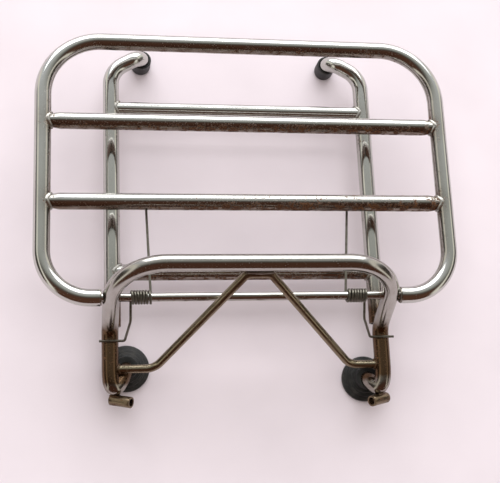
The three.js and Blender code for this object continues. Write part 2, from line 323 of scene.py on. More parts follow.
def brace_route(sizes):
    """The brace, from one lower leg, up to the underside of the hoop's bar, to the other leg."""
    y = HINGE.y - sizes.brace_y
    below = Vector((0, HOOP_TOP_Y - y, HOOP_TOP_Z - FRAME_Z)).normalized() * (TUBE_R + sizes.brace_radius)
    top = Vector((0, HOOP_TOP_Y, HOOP_TOP_Z)) - below
    half = [
        ((-HOOP_X, y, FRAME_Z), 0),
        ((-sizes.brace_corner_x, y, FRAME_Z), sizes.brace_corner_bend),
        ((-sizes.brace_top_x, top.y, top.z), sizes.brace_top_bend),
    ]
    corners = half + [((-x, y_at, z), bend) for (x, y_at, z), bend in reversed(half)]
    for index in (1, -2):
        (x, y_at, z), bend = corners[index]
        corners[index] = ((x + sizes.brace_shift, y_at, z), bend)
    return bent_line(corners)


# ---- meshes ---------------------------------------------------------------------------------------


def steady_frames(route):
    """For each point of a route: its tangent and two directions across it, turned as little as possible."""
    tangents = []
    for i in range(len(route)):
        before = route[max(i - 1, 0)]
        after = route[min(i + 1, len(route) - 1)]
        tangents.append((after - before).normalized())
    helper = UP if abs(tangents[0].dot(UP)) < 0.9 else Vector((0, 1, 0))
    across = (helper - tangents[0] * helper.dot(tangents[0])).normalized()
    result = []
    previous = tangents[0]
    for tangent in tangents:
        across = previous.rotation_difference(tangent) @ across
        across = (across - tangent * across.dot(tangent)).normalized()
        result.append((tangent, across, tangent.cross(across)))
        previous = tangent
    return result


def round_way(across, other, turn):
    """The direction at a turn, in radians, round the axis that across and other are square to."""
    return across * math.cos(turn) + other * math.sin(turn)


def mesh_from_rings(rings, ring_size, closed=False):
    """Vertices and faces of rings joined one to the next. If closed, the last joins the first."""
    verts = [place for ring in rings for place in ring]
    faces = []
    for i in range(len(rings) if closed else len(rings) - 1):
        here = i * ring_size
        there = (i + 1) % len(rings) * ring_size
        for k in range(ring_size):
            n = (k + 1) % ring_size
            faces.append((here + k, here + n, there + n, there + k))
    return verts, faces


def outward(verts, faces):
    """Whether a closed mesh's faces point out, from the sign of its volume."""
    volume = 0.0
    for face in faces:
        a = verts[face[0]]
        for b, c in zip(face[1:], face[2:]):
            volume += a.dot(verts[b].cross(verts[c]))
    return volume > 0


def clean_wear(place, normal):
    """(rust, brown film), both none."""
    return 0.0, 0.0


SHARP_EDGE = math.radians(38)       # a smaller corner than this is shaded smooth


def end_faces(ring_count, ring_size):
    """The two faces that close an open run of rings, at its first ring and its last."""
    last = (ring_count - 1) * ring_size
    return [tuple(reversed(range(ring_size))), tuple(range(last, last + ring_size))]


def held(value):
    """value, held between 0 and 1."""
    return min(max(value, 0.0), 1.0)


def make_piece(name, verts, faces, straight_space, wear, finish_name, body, replaced=()):
    """A smooth-shaded closed solid that rides on a body. straight_space is each vertex's place in mm as
    if the tube were straight, which the finishes' patterns follow, and wear gives the rust and film."""
    material, slot = finish_called(finish_name)
    if not outward(verts, faces):
        faces = [tuple(reversed(face)) for face in faces]
    mesh = bpy.data.meshes.new(name)
    mesh.from_pydata(verts, [], faces)
    mesh.validate()
    mesh.polygons.foreach_set("use_smooth", [True] * len(mesh.polygons))
    mesh.set_sharp_from_angle(angle=SHARP_EDGE)
    space = mesh.attributes.new("straight_space", "FLOAT_VECTOR", "POINT")
    space.data.foreach_set("vector", [c for place in straight_space for c in place])
    worn = [wear(Vector(v.co), v.normal) for v in mesh.vertices]
    for index, kind in enumerate(("rust", "film")):
        layer = mesh.attributes.new(kind, "FLOAT", "POINT")
        layer.data.foreach_set("value", [w[index] for w in worn])
    mesh.materials.append(material)
    piece = bpy.data.objects.new(name, mesh)
    bpy.context.scene.collection.objects.link(piece)
    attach(piece, body)
    if replaced:
        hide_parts(*replaced)


SWAGE_LENGTH = 9 * MM               # how far a narrowed end takes to reach the tube's full size
SWAGE_STATION = 1.5 * MM            # longest step along a tube with narrowed ends
SOLID_CORE = 0.35                   # a solid bar's end face runs in to this share of its radius


def tube_mesh(route, radius, bore=0.0, sides=TUBE_SIDES, edge=0.35 * MM, mouths=(0.0, 0.0), swage=0.0):
    """A round bar or a tube along a route, with softened rims. mouths are the radii of the tubes that
    its two ends are hollowed to sit on, or 0 for a square end. swage is the share by which its two ends
    narrow just before them. Returns verts, faces, straight space."""
    route = with_stations(route, SWAGE_STATION if swage else STATION)
    run = [0.0]
    for start, end in zip(route, route[1:]):
        run.append(run[-1] + (end - start).length)
    frames = steady_frames(route)
    inner = bore if bore else radius * SOLID_CORE
    skin = [(radius, i, 0.0) for i in range(len(route))]
    start_rim = [(inner + edge, 0, 0.0), (radius - edge, 0, 0.0), (radius - 0.3 * edge, 0, 0.3 * edge)]
    end_rim = [(radius - 0.3 * edge, -1, -0.3 * edge), (radius - edge, -1, 0.0), (inner + edge, -1, 0.0)]
    stations = start_rim + [(radius, 0, edge)] + skin[1:-1] + [(radius, -1, -edge)] + end_rim
    if bore:
        stations += [(bore, i, 0.0) for i in range(len(route) - 1, -1, -1)]
    else:
        stations = [(inner, 0, 0.0)] + stations[1:-1] + [(inner, -1, 0.0)]
    rings, space = [], []
    for wide, i, shift in stations:
        tangent, across, other = frames[i]
        from_end = min(run[i], run[-1] - run[i])
        narrow = held(1 - (from_end - mouths[0]) / SWAGE_LENGTH)
        r = wide * (1 - swage * narrow * narrow * (3 - 2 * narrow))
        ring = []
        for k in range(sides):
            angle = 2 * math.pi * k / sides
            out = round_way(across, other, angle)
            slide = shift
            is_end = i in (0, -1, len(route) - 1)
            mouth = mouths[0] if i == 0 else mouths[1]
            if is_end and mouth:
                height = min(r * abs(out.z), mouth)
                slide += (1 if i == 0 else -1) * math.sqrt(mouth ** 2 - height ** 2)
            ring.append(route[i] + out * r + tangent * slide)
            space.append((r / MM * math.cos(angle), r / MM * math.sin(angle), (run[i] + slide) / MM))
        rings.append(ring)
    verts, faces = mesh_from_rings(rings, sides, closed=bool(bore))
    if not bore:
        faces += end_faces(len(rings), sides)
    return verts, faces, space


def turned_mesh(profile, at, sides):
    """A closed solid turned about an upright axis, from (radius, height) points that start and end on
    the axis. Returns verts, faces, straight space in mm."""
    rings = []
    for r, h in profile[1:-1]:
        ring = []
        for k in range(sides):
            angle = 2 * math.pi * k / sides
            ring.append(at + Vector((r * math.cos(angle), r * math.sin(angle), h)))
        rings.append(ring)
    verts, faces = mesh_from_rings(rings, sides)
    for (_, h), ring_index in ((profile[0], 0), (profile[-1], len(rings) - 1)):
        verts.append(at + Vector((0, 0, h)))
        tip = len(verts) - 1
        first = ring_index * sides
        for k in range(sides):
            pair = (first + k, first + (k + 1) % sides)
            faces.append((tip, *reversed(pair)) if ring_index == 0 else (tip, *pair))
    return verts, faces, [tuple((v - at) / MM) for v in verts]


def rounded(profile):
    """A turned profile from corners (radius, height, corner radius), with each corner rounded."""
    corners = [((r, 0.0, h), bend) for r, h, bend in profile]
    result = [Vector(corners[0][0])]
    for (before, _), (at, bend), (after, _) in zip(corners, corners[1:], corners[2:]):
        at = Vector(at)
        if bend == 0:
            result.append(at)
            continue
        cut_in = at + (Vector(before) - at).normalized() * bend
        cut_out = at + (Vector(after) - at).normalized() * bend
        result += [cut_in.lerp(at, t).lerp(at.lerp(cut_out, t), t) for t in (0, 0.25, 0.5, 0.75, 1)]
    result.append(Vector(corners[-1][0]))
    return [(p.x, p.z) for p in result]


# ---- finishes -------------------------------------------------------------------------------------


def add_node(tree, kind, inputs=None, give=0, **settings):
    """Adds a node, sets its settings, and gives each input a value or links another node's output to it.
    Returns the output called give, or else its first one."""
    made = tree.nodes.new(kind)
    for name, value in settings.items():
        setattr(made, name, value)
    for socket, value in (inputs or {}).items():
        if isinstance(value, bpy.types.NodeSocket):
            tree.links.new(value, made.inputs[socket])
        else:
            made.inputs[socket].default_value = value
    return made.outputs[give] if made.outputs else None


MIX_A, MIX_B, MIXED = 6, 7, 2       # sockets of a Mix node that mixes colours
PIT_SPACING = 1.6                   # mm


def plated_steel(tree, colours, plate, smooth):
    """Nickel and chrome plate over polished steel tube, decades old. It gives the eye a hard mirror with
    fine lines drawn along the tube, a brown film where water stood that on the bars' flanks turned from the
    window is also painted shade, and rust in pin-sized pits."""
    space = add_node(tree, "ShaderNodeAttribute", give="Vector", attribute_name="straight_space")
    rust = add_node(tree, "ShaderNodeAttribute", give="Fac", attribute_name="rust")
    film = add_node(tree, "ShaderNodeAttribute", give="Fac", attribute_name="film")
    # The same space squeezed along the tube, so that a pattern is drawn out that way.
    for_lines, for_haze, for_patches, for_pits = [
        add_node(tree, "ShaderNodeVectorMath", {0: space, 1: (1.0, 1.0, along)}, operation="MULTIPLY")
        for along in (0.03, 0.4, 0.6, 0.7)]

    # Polishing lines are finer than a tenth of a millimetre. These are half a millimetre, so that they show.
    lines = add_node(tree, "ShaderNodeTexNoise", {"Vector": for_lines, "Scale": 1 / 0.5})
    # Haze drifts over about 14 mm, and stains come in patches of about 7 mm.
    haze = add_node(tree, "ShaderNodeTexNoise", {"Vector": for_haze, "Scale": 1 / 14})
    patches = add_node(tree, "ShaderNodeTexNoise", {
        "Vector": for_patches, "Scale": 1 / 7, "Detail": 4.0, "Roughness": 0.65})
    # Real pits are well under a millimetre. These are drawn coarser, so that they show.
    pit_cells = add_node(tree, "ShaderNodeTexVoronoi", {
        "Vector": for_pits, "Scale": 1 / PIT_SPACING, "Randomness": 1.0}, "Distance")
    grain = add_node(tree, "ShaderNodeTexNoise", {"Vector": space, "Scale": 1 / 0.8, "Detail": 3.0})

    patchy = add_node(tree, "ShaderNodeMapRange", {
        "Value": patches, "From Min": 0.38, "From Max": 0.68, "To Max": 1.25})
    reach = add_node(tree, "ShaderNodeMath", {0: rust, 1: patchy}, operation="MULTIPLY")
    ragged = add_node(tree, "ShaderNodeMapRange", {
        "Value": grain, "From Min": 0.3, "From Max": 0.7, "To Min": -0.1, "To Max": 0.1})
    edge = add_node(tree, "ShaderNodeMath", {0: pit_cells, 1: ragged}, operation="ADD")
    inside = add_node(tree, "ShaderNodeMath", {0: reach, 1: edge}, operation="SUBTRACT")
    pitted = add_node(tree, "ShaderNodeMapRange", {"Value": inside, "From Min": -0.08, "From Max": 0.16})
    uneven = add_node(tree, "ShaderNodeMapRange", {
        "Value": patches, "From Min": 0.25, "From Max": 0.7, "To Min": 0.65})
    # The brown film, which on the bars' flanks turned from the window is partly painted shade.
    deep = add_node(tree, "ShaderNodeMath", {0: film, 1: uneven}, operation="MULTIPLY")
    stain_and_shade = add_node(tree, "ShaderNodeMath", {0: deep, 1: 1.0}, operation="MINIMUM")

    fresh = add_node(tree, "ShaderNodeMapRange", {"Value": grain, "From Min": 0.42, "From Max": 0.66})
    rusty = add_node(tree, "ShaderNodeMix", {
        0: fresh, MIX_A: rgba(colours.rust_dark), MIX_B: rgba(colours.rust_light)}, MIXED, data_type="RGBA")
    coated_and_shaded = add_node(tree, "ShaderNodeMix", {
        0: stain_and_shade, MIX_A: rgba(plate), MIX_B: rgba(colours.film)}, MIXED, data_type="RGBA")
    base = add_node(tree, "ShaderNodeMix", {0: pitted, MIX_A: coated_and_shaded, MIX_B: rusty}, MIXED, data_type="RGBA")

    lined = add_node(tree, "ShaderNodeMapRange", {
        "Value": lines, "From Min": 0.3, "From Max": 0.7, "To Min": smooth * 0.7, "To Max": smooth * 1.3})
    hazy = add_node(tree, "ShaderNodeMapRange", {
        "Value": haze, "From Min": 0.4, "From Max": 0.7, "To Max": smooth * 0.6})
    rough = add_node(tree, "ShaderNodeMath", {0: lined, 1: hazy}, operation="ADD")
    for cover, rougher in ((stain_and_shade, 0.12), (pitted, 0.5)):
        rough = add_node(tree, "ShaderNodeMath", {0: cover, 1: rougher, 2: rough}, operation="MULTIPLY_ADD")
    low_lines = add_node(tree, "ShaderNodeMath", {0: lines, 1: 0.05}, operation="MULTIPLY")
    relief = add_node(tree, "ShaderNodeMath", {0: low_lines, 1: pitted}, operation="SUBTRACT")
    bump = add_node(tree, "ShaderNodeBump", {"Height": relief, "Distance": 0.08 * MM, "Strength": 0.8})
    metallic = add_node(tree, "ShaderNodeMapRange", {"Value": pitted, "To Min": 1.0, "To Max": 0.25})
    return add_node(tree, "ShaderNodeBsdfPrincipled", {
        "Base Color": base, "Metallic": metallic, "Roughness": rough, "Normal": bump})


def chrome(tree, colours):
    """Decorative chrome on polished tube. It gives the eye a crisp mirror."""
    return plated_steel(tree, colours, colours.chrome, smooth=0.09)


def plated_weld(tree, colours):
    """The same plate over a weld, which wasn't polished. It gives the eye a softer, broken shine."""
    return plated_steel(tree, colours, colours.chrome, smooth=0.24)


def brace_steel(tree, colours):
    """Drawn rod, nickel plated and gone dull. It gives the eye a grey-brown satin shine."""
    return plated_steel(tree, colours, colours.brace, smooth=0.17)


def spring_steel(tree, colours):
    """Oil-tempered, cold-coiled spring wire. It gives the eye a dark, olive, half matt metal with faint
    lines along the wire."""
    space = add_node(tree, "ShaderNodeAttribute", give="Vector", attribute_name="straight_space")
    for_lines = add_node(tree, "ShaderNodeVectorMath", {0: space, 1: (1.0, 1.0, 0.05)},
                         operation="MULTIPLY")
    # Drawing lines are finer than a tenth of a millimetre. These are 0.4 mm, so that they show.
    lines = add_node(tree, "ShaderNodeTexNoise", {"Vector": for_lines, "Scale": 1 / 0.4})
    patches = add_node(tree, "ShaderNodeTexNoise", {"Vector": space, "Scale": 1 / 3, "Detail": 3.0})
    rusty = add_node(tree, "ShaderNodeMapRange", {
        "Value": patches, "From Min": 0.5, "From Max": 0.8, "To Max": 0.7})
    base = add_node(tree, "ShaderNodeMix", {
        0: rusty, MIX_A: rgba(colours.wire), MIX_B: rgba(colours.rust_dark)}, MIXED, data_type="RGBA")
    rough = add_node(tree, "ShaderNodeMapRange", {
        "Value": lines, "From Min": 0.3, "From Max": 0.7, "To Min": 0.32, "To Max": 0.46})
    return add_node(tree, "ShaderNodeBsdfPrincipled", {
        "Base Color": base, "Metallic": 1.0, "Roughness": rough})


def moulded_rubber(tree, colours):
    """Moulded natural rubber. It gives the eye a near black, fine-grained surface with pale dust in
    patches."""
    space = add_node(tree, "ShaderNodeAttribute", give="Vector", attribute_name="straight_space")
    dust = add_node(tree, "ShaderNodeTexNoise", {
        "Vector": space, "Scale": 1 / 9, "Detail": 5.0, "Roughness": 0.65})
    # A mould's grain is about a tenth of a millimetre. This is half a millimetre, so that it shows.
    grain = add_node(tree, "ShaderNodeTexNoise", {"Vector": space, "Scale": 1 / 0.5})
    dusty = add_node(tree, "ShaderNodeMapRange", {
        "Value": dust, "From Min": 0.48, "From Max": 0.8, "To Max": 0.5})
    base = add_node(tree, "ShaderNodeMix", {
        0: dusty, MIX_A: rgba(colours.rubber), MIX_B: rgba(colours.dust)}, MIXED, data_type="RGBA")
    rough = add_node(tree, "ShaderNodeMapRange", {
        "Value": dust, "From Min": 0.3, "From Max": 0.7, "To Min": 0.42, "To Max": 0.62})
    bump = add_node(tree, "ShaderNodeBump", {"Height": grain, "Distance": 0.1 * MM, "Strength": 0.5})
    return add_node(tree, "ShaderNodeBsdfPrincipled", {
        "Base Color": base, "Roughness": rough, "IOR": 1.52, "Normal": bump})


def turned_steel(tree, colours):
    """Mild steel turned on a lathe and gone dull. It gives the eye a grey satin shine in fine rings."""
    space = add_node(tree, "ShaderNodeAttribute", give="Vector", attribute_name="straight_space")
    # Rings of two millimetres, pressed eight times closer: a quarter of a millimetre, a lathe's real feed.
    pressed = add_node(tree, "ShaderNodeVectorMath", {0: space, 1: (1.0, 1.0, 8.0)}, operation="MULTIPLY")
    rings = add_node(tree, "ShaderNodeTexNoise", {"Vector": pressed, "Scale": 1 / 2})
    rough = add_node(tree, "ShaderNodeMapRange", {
        "Value": rings, "From Min": 0.3, "From Max": 0.7, "To Min": 0.28, "To Max": 0.45})
    return add_node(tree, "ShaderNodeBsdfPrincipled", {
        "Base Color": rgba(colours.bush), "Metallic": 1.0, "Roughness": rough})


def floor_cloth(tree, colours):
    """A plain pale floor. It gives the eye a matt surface, barely uneven, with mottles of about 110 mm."""
    place = add_node(tree, "ShaderNodeTexCoord", give="Object")
    mottle = add_node(tree, "ShaderNodeTexNoise", {"Vector": place, "Scale": 9.0, "Detail": 3.0})
    uneven = add_node(tree, "ShaderNodeMapRange", {"Value": mottle, "From Min": 0.35, "From Max": 0.7})
    darker = [c * 0.94 for c in colours.floor]
    base = add_node(tree, "ShaderNodeMix", {0: uneven, MIX_A: rgba(colours.floor), MIX_B: rgba(darker)},
                    MIXED, data_type="RGBA")
    return add_node(tree, "ShaderNodeBsdfPrincipled", {
        "Base Color": base, "Roughness": 0.95, "Specular IOR Level": 0.1})


# The function that adds each finish's nodes, and the record's slot that it stands for on the rack.
FINISHES = {
    "Chromed_steel_tube": (chrome, "chrome_tube"),
    "Plated_weld": (plated_weld, "chrome_tube"),
    "Dulled_plated_steel": (brace_steel, "dull_steel"),
    "Oiled_spring_wire": (spring_steel, "spring_steel"),
    "Moulded_rubber": (moulded_rubber, "rubber"),
    "Turned_steel": (turned_steel, "bush_steel"),
    "Pale_floor": (floor_cloth, None),
}


def finish_called(name):
    """The material called name, made the first time a piece asks for it, and its slot."""
    maker, slot = FINISHES[name]
    material = bpy.data.materials.get(name)
    if material is None:
        material = bpy.data.materials.new(name)
        material.use_nodes = True
        tree = material.node_tree
        tree.nodes.clear()
        shader = maker(tree, bpy.context.scene.rack_finish)
        add_node(tree, "ShaderNodeOutputMaterial", {"Surface": shader})
    return material, slot


# ---- wear -----------------------------------------------------------------------------------------


def near(place, joints, reach):
    """1 at the nearest of the joints, fading to almost nothing at twice reach from it."""
    return max((math.exp(-((place - joint).length / reach) ** 2) for joint in joints), default=0.0)


def bar_wear_and_shade(rust_under, rust_over, film_and_shade_under, joints=(), rightwards=0.0, film_over=0.1):
    """Rust, brown film and painted shade of a bar across the rack: worst along the flank that faces away
    from the carrier's top and the window, whose brown is partly painted shade, round its joints, and more
    towards the right by rightwards."""

    def wear(place, normal):
        # This flank is turned from the window: its brown film is partly real film and partly painted shade.
        under = held(0.25 - normal.y - 0.25 * normal.z)
        lean = 1.0 + rightwards * place.x / CARRIER_X
        joint = near(place, joints, 12 * MM)
        rust = (rust_under * under + rust_over) * lean + 0.45 * joint
        return rust, min(film_and_shade_under * under + film_over * lean + 0.35 * joint, 1.0)

    return wear


# ---- operators ------------------------------------------------------------------------------------


def tube_piece(name, route, radius, finish_name, body, wear=clean_wear, **shape):
    """A bar, tube or wire that stands for the CAD node of its own name."""
    verts, faces, space = tube_mesh(route, radius, **shape)
    make_piece(name, verts, faces, space, wear, finish_name, body, (name,))


def rubber_foot(node, at, profile, sides):
    """A rubber foot turned about the upright line through a place."""
    verts, faces, space = turned_mesh(rounded(profile), at, sides)
    make_piece(node, verts, faces, space, clean_wear, "Moulded_rubber", "frame", (node,))


def sleeve_way(name):
    """Which way a bolt sleeve points: in towards the rack's middle, up, and a little away from the hinge."""
    return Vector((-0.84 * SIDES[name], -0.2, 0.5)).normalized()


def crossing(y, x, z):
    """The left and the right end of a line across the rack."""
    return [Vector((side * x, y, z)) for side in SIDES.values()]


class RACK_OT_carrier_loop(bpy.types.Operator):
    """Bend the carrier's loop, one tube from hinge to hinge"""

    bl_idname = "rack.carrier_loop"
    bl_label = "Carrier loop"

    def execute(self, context):
        sizes = context.scene.rack_sizes
        joints = [p for y in CROSSBAR_Y.values() for p in crossing(y, CARRIER_X - TUBE_R, HINGE.z)]
        top_bar = bar_wear_and_shade(rust_under=0.62, rust_over=0.04, film_and_shade_under=0.9, rightwards=0.3)

        def wear(place, normal):
            # The top bar wears like a crossbar, with brown film that is partly painted shade on its flank
            # turned from the window, less towards its corners. The sides wear on their inner flanks.
            joint = near(place, joints, 13 * MM)
            if place.y > CARRIER_TOP_Y - 2 * TUBE_R:
                rust, film = top_bar(place, normal)
                fade = 1 - min(abs(place.x) / CARRIER_X, 1.0) ** 4
                return rust * fade, film * fade
            inward = max(-normal.x * place.x / CARRIER_X, 0.0)
            return 0.08 + 0.5 * joint + 0.25 * inward, min(0.1 + 0.45 * joint + 0.4 * inward, 1.0)

        tube_piece("carrier_loop", carrier_route(sizes), TUBE_R, "Chromed_steel_tube", "carrier", wear,
                   bore=TUBE_R - sizes.wall)
        return {"FINISHED"}


class RACK_OT_crossbars(bpy.types.Operator):
    """Fit the two crossbars between the loop's sides"""

    bl_idname = "rack.crossbars"
    bl_label = "Crossbars"

    def execute(self, context):
        sizes = context.scene.rack_sizes
        # The brown film on each bar's flank turned from the window is partly real film and partly painted
        # shade.
        wear_of = {
            "upper_crossbar": {"rust_under": 0.80, "rust_over": 0.18, "film_and_shade_under": 1.0, "rightwards": 0.4},
            "lower_crossbar": {"rust_under": 0.65, "rust_over": 0.36, "film_and_shade_under": 0.95,
                               "film_over": 0.22, "rightwards": 0.9},
        }
        for name, y in CROSSBAR_Y.items():
            wear = bar_wear_and_shade(joints=crossing(y, CARRIER_X - TUBE_R, HINGE.z), **wear_of[name])
            route = [Vector((-CARRIER_X, y, HINGE.z)), Vector((CARRIER_X, y, HINGE.z))]
            tube_piece(name, route, TUBE_R, "Chromed_steel_tube", "carrier", wear,
                       bore=TUBE_R - sizes.wall, mouths=(TUBE_R, TUBE_R), swage=sizes.crossbar_swage)
        return {"FINISHED"}


class RACK_OT_hoop(bpy.types.Operator):
    """Bend the hoop, one tube from foot to foot"""

    bl_idname = "rack.hoop"
    bl_label = "Hoop tube"

    def execute(self, context):
        sizes = context.scene.rack_sizes
        bends = [Vector((side * HOOP_X, HOOP_BEND_Y, FRAME_Z)) for side in SIDES.values()]

        def wear(place, normal):
            # The brown is darkest down the lower legs until the foot bends, and darker on the left.
            bend = near(place, bends, 16 * MM)
            lower = held((HOOP_BEND_Y + 4 * MM - place.y) / (16 * MM))
            foot = held((HOOP_BEND_Y - 44 * MM - place.y) / (10 * MM))
            worst = lower * (1 - 0.8 * foot)
            darker = 1.5 if place.x < 0 else 1.25
            return 0.12 + 0.3 * bend + 0.25 * worst, 0.42 + 0.4 * bend + worst * darker

        tube_piece("hoop_tube", hoop_route(sizes), TUBE_R, "Chromed_steel_tube", "frame", wear,
                   bore=TUBE_R - sizes.wall)
        return {"FINISHED"}


class RACK_OT_hinge(bpy.types.Operator):
    """Pass the hinge rod through the hoop and fit a flanged bush at each end"""

    bl_idname = "rack.hinge"
    bl_label = "Hinge rod and bushes"

    RUNNING_ROOM = 0.3 * MM         # between the rod and a bush's bore
    SPIGOT_ROOM = 0.2 * MM          # between a bush's spigot and the carrier tube's bore
    FLANGE_RADIUS = 7.4 * MM
    FLANGE_THICKNESS = 0.8 * MM
    FLANGE_EDGE = 0.2 * MM

    def execute(self, context):
        sizes = context.scene.rack_sizes
        half = high("hinge_rod", X)
        joints = crossing(HINGE.y, HOOP_X - TUBE_R, HINGE.z)
        # The brown film on the rod's flank turned from the window is partly real film and partly painted
        # shade.
        rod_wear = bar_wear_and_shade(rust_under=0.45, rust_over=0.05, film_and_shade_under=0.55, joints=joints, rightwards=0.2)
        tube_piece("hinge_rod", [from_hinge(-half, 0), from_hinge(half, 0)], ROD_R, "Chromed_steel_tube",
                   "frame", rod_wear, sides=ROD_SIDES)
        for name, side in SIDES.items():
            self.bush(sizes, f"{name}_hinge_bush", side)
        return {"FINISHED"}

    def bush(self, sizes, node, side):
        """A turned bush: its flange against the end of the carrier tube, its spigot inside the tube."""
        inner, outer = sorted((abs(low(node, X)), abs(high(node, X))))
        bore = ROD_R + self.RUNNING_ROOM
        spigot = TUBE_R - sizes.wall - self.SPIGOT_ROOM
        flange = self.FLANGE_RADIUS
        flange_end = inner + self.FLANGE_THICKNESS
        outline = [(bore, inner), (flange - self.FLANGE_EDGE, inner), (flange, inner + self.FLANGE_EDGE),
                   (flange, flange_end), (spigot, flange_end), (spigot, outer), (bore, outer)]
        rings, space = [], []
        for r, x in outline:
            ring = []
            for k in range(TUBE_SIDES):
                angle = 2 * math.pi * k / TUBE_SIDES
                ring.append(from_hinge(side * x, r * math.cos(angle), r * math.sin(angle)))
                space.append((r / MM * math.cos(angle), r / MM * math.sin(angle), x / MM))
            rings.append(ring)
        verts, faces = mesh_from_rings(rings, TUBE_SIDES, closed=True)
        make_piece(node, verts, faces, space, clean_wear, "Turned_steel", "carrier", (node,))


class RACK_OT_tie_bars(bpy.types.Operator):
    """Fit the two tie bars between the support legs"""

    bl_idname = "rack.tie_bars"
    bl_label = "Tie bars"

    def execute(self, context):
        sizes = context.scene.rack_sizes
        # The brown film on each bar's flank turned from the window is partly real film and partly painted
        # shade.
        wear_of = {
            "upper_tie_bar": bar_wear_and_shade(rust_under=0.25, rust_over=0.0, film_and_shade_under=0.25),
            "lower_tie_bar": bar_wear_and_shade(rust_under=0.8, rust_over=0.1, film_and_shade_under=0.85),
        }
        radius_of = {"upper_tie_bar": UPPER_TIE_R, "lower_tie_bar": TUBE_R}
        for name, y in TIE_Y.items():
            route = [Vector((-LEG_X, y, FRAME_Z)), Vector((LEG_X, y, FRAME_Z))]
            tube_piece(name, route, radius_of[name], "Chromed_steel_tube", "frame", wear_of[name],
                       bore=radius_of[name] - sizes.wall, mouths=(TUBE_R, TUBE_R))
        return {"FINISHED"}


class RACK_OT_support_legs(bpy.types.Operator):
    """Bend the two support legs"""

    bl_idname = "rack.support_legs"
    bl_label = "Support legs"

    def execute(self, context):
        sizes = context.scene.rack_sizes
        for name, side in SIDES.items():
            x = side * (LEG_X - TUBE_R)
            joints = [Vector((x, y, FRAME_Z)) for y in (*TIE_Y.values(), *CROSSBAR_Y.values())]

            def wear(place, normal, joints=joints):
                # Brown towards the leg's lower end, and rust round the joints.
                joint = near(place, joints, 12 * MM)
                lower = held((HINGE.y + 28 * MM - place.y) / (36 * MM))
                return 0.12 + 0.4 * joint + 0.3 * lower, 0.1 + 0.3 * joint + 1.1 * lower

            tube_piece(f"{name}_support_leg", leg_route(sizes, name), TUBE_R, "Chromed_steel_tube",
                       "frame", wear, bore=TUBE_R - sizes.wall)
        return {"FINISHED"}


class RACK_OT_brace(bpy.types.Operator):
    """Bend the V brace that holds up the hoop's bar"""

    bl_idname = "rack.brace"
    bl_label = "V brace"

    def execute(self, context):
        sizes = context.scene.rack_sizes
        top = Vector((0, HOOP_TOP_Y, HOOP_TOP_Z))

        def wear(place, normal):
            # Rust at the top, under the hoop's bar, and brown on the flank that faces the disc feet.
            high_up = near(place, [top], 40 * MM)
            under = max(-normal.y, 0.0)
            return 0.28 + 0.3 * high_up, min(0.2 + 0.5 * under + 0.5 * high_up, 1.0)

        tube_piece("v_brace", brace_route(sizes), sizes.brace_radius, "Dulled_plated_steel", "frame",
                   wear, sides=ROD_SIDES)
        return {"FINISHED"}


class RACK_OT_bolt_sleeves(bpy.types.Operator):
    """Set a bolt sleeve beside each foot bend"""

    bl_idname = "rack.bolt_sleeves"
    bl_label = "Bolt sleeves"

    def execute(self, context):
        sizes = context.scene.rack_sizes
        for name in SIDES:
            half = sleeve_way(name) * sizes.sleeve_length / 2
            route = [SLEEVE[name] - half, SLEEVE[name] + half]
            tube_piece(f"{name}_bolt_sleeve", route, sizes.sleeve_radius, "Dulled_plated_steel", "frame",
                       lambda place, normal: (0.5, 0.85), bore=sizes.sleeve_bore, sides=ROD_SIDES)
        return {"FINISHED"}


class RACK_OT_disc_feet(bpy.types.Operator):
    """Mould the stepped rubber discs on the hoop's ends"""

    bl_idname = "rack.disc_feet"
    bl_label = "Disc feet"

    def execute(self, context):
        for name in SIDES:
            node = f"{name}_disc_foot"
            outer = high(node, X) - DISC[name].x
            top = high(node, Z)
            rubber_foot(node, DISC[name], [
                (0, 0, 0),
                (outer, 0, 1.0 * MM),
                (outer, 4.2 * MM, 1.2 * MM),
                (outer - 4.2 * MM, 5.0 * MM, 0.5 * MM),
                (outer - 4.6 * MM, 7.2 * MM, 0.8 * MM),
                (outer - 7.8 * MM, 7.6 * MM, 0.5 * MM),
                (outer - 8.1 * MM, 9.6 * MM, 0.8 * MM),
                (outer - 11.0 * MM, 10.0 * MM, 0.8 * MM),
                (outer - 11.5 * MM, top, 1.2 * MM),
                (TUBE_R - 1.0 * MM, top - 0.4 * MM, 1.0 * MM),
                (0, top - 2.0 * MM, 0),
            ], sides=72)
        return {"FINISHED"}


class RACK_OT_tip_caps(bpy.types.Operator):
    """Push a rubber cap over the tip of each support leg"""

    bl_idname = "rack.tip_caps"
    bl_label = "Tip caps"

    def execute(self, context):
        for name in SIDES:
            node = f"{name}_tip_cap"
            outer = high(node, X) - TIP[name].x
            top = high(node, Z)
            socket = TUBE_R + 0.15 * MM
            rubber_foot(node, TIP[name], [
                (0, 0, 0),
                (outer - 0.6 * MM, 0, 1.2 * MM),
                (outer, 3 * MM, 1.0 * MM),
                (outer, top, 0.7 * MM),
                (socket, top, 0.4 * MM),
                (socket, SOCKET_FLOOR - 0.3 * MM, 0),
                (0, SOCKET_FLOOR - 0.3 * MM, 0),
            ], sides=48)
        return {"FINISHED"}


def coil_x(sizes, side, turn):
    """Where a turn lies along the rod. The first is the long arm's own, with spare room after it."""
    room = sizes.joint_room if turn > 1 else 0.0
    return side * (sizes.coil_inner_x + room + turn * sizes.coil_pitch) - sizes.coil_slide


def coil_turns(sizes, side, start, end):
    """Turns of wire round the hinge rod. A whole number of turns ends straight under the rod."""
    steps = round(abs(end - start) * COIL_STEPS)
    points = []
    for k in range(steps + 1):
        turn = start + (end - start) * k / steps
        angle = -math.pi / 2 - 2 * math.pi * turn
        y = sizes.coil_radius * math.cos(angle)
        z = sizes.coil_radius * math.sin(angle)
        points.append(from_hinge(coil_x(sizes, side, turn), y, z))
    return points


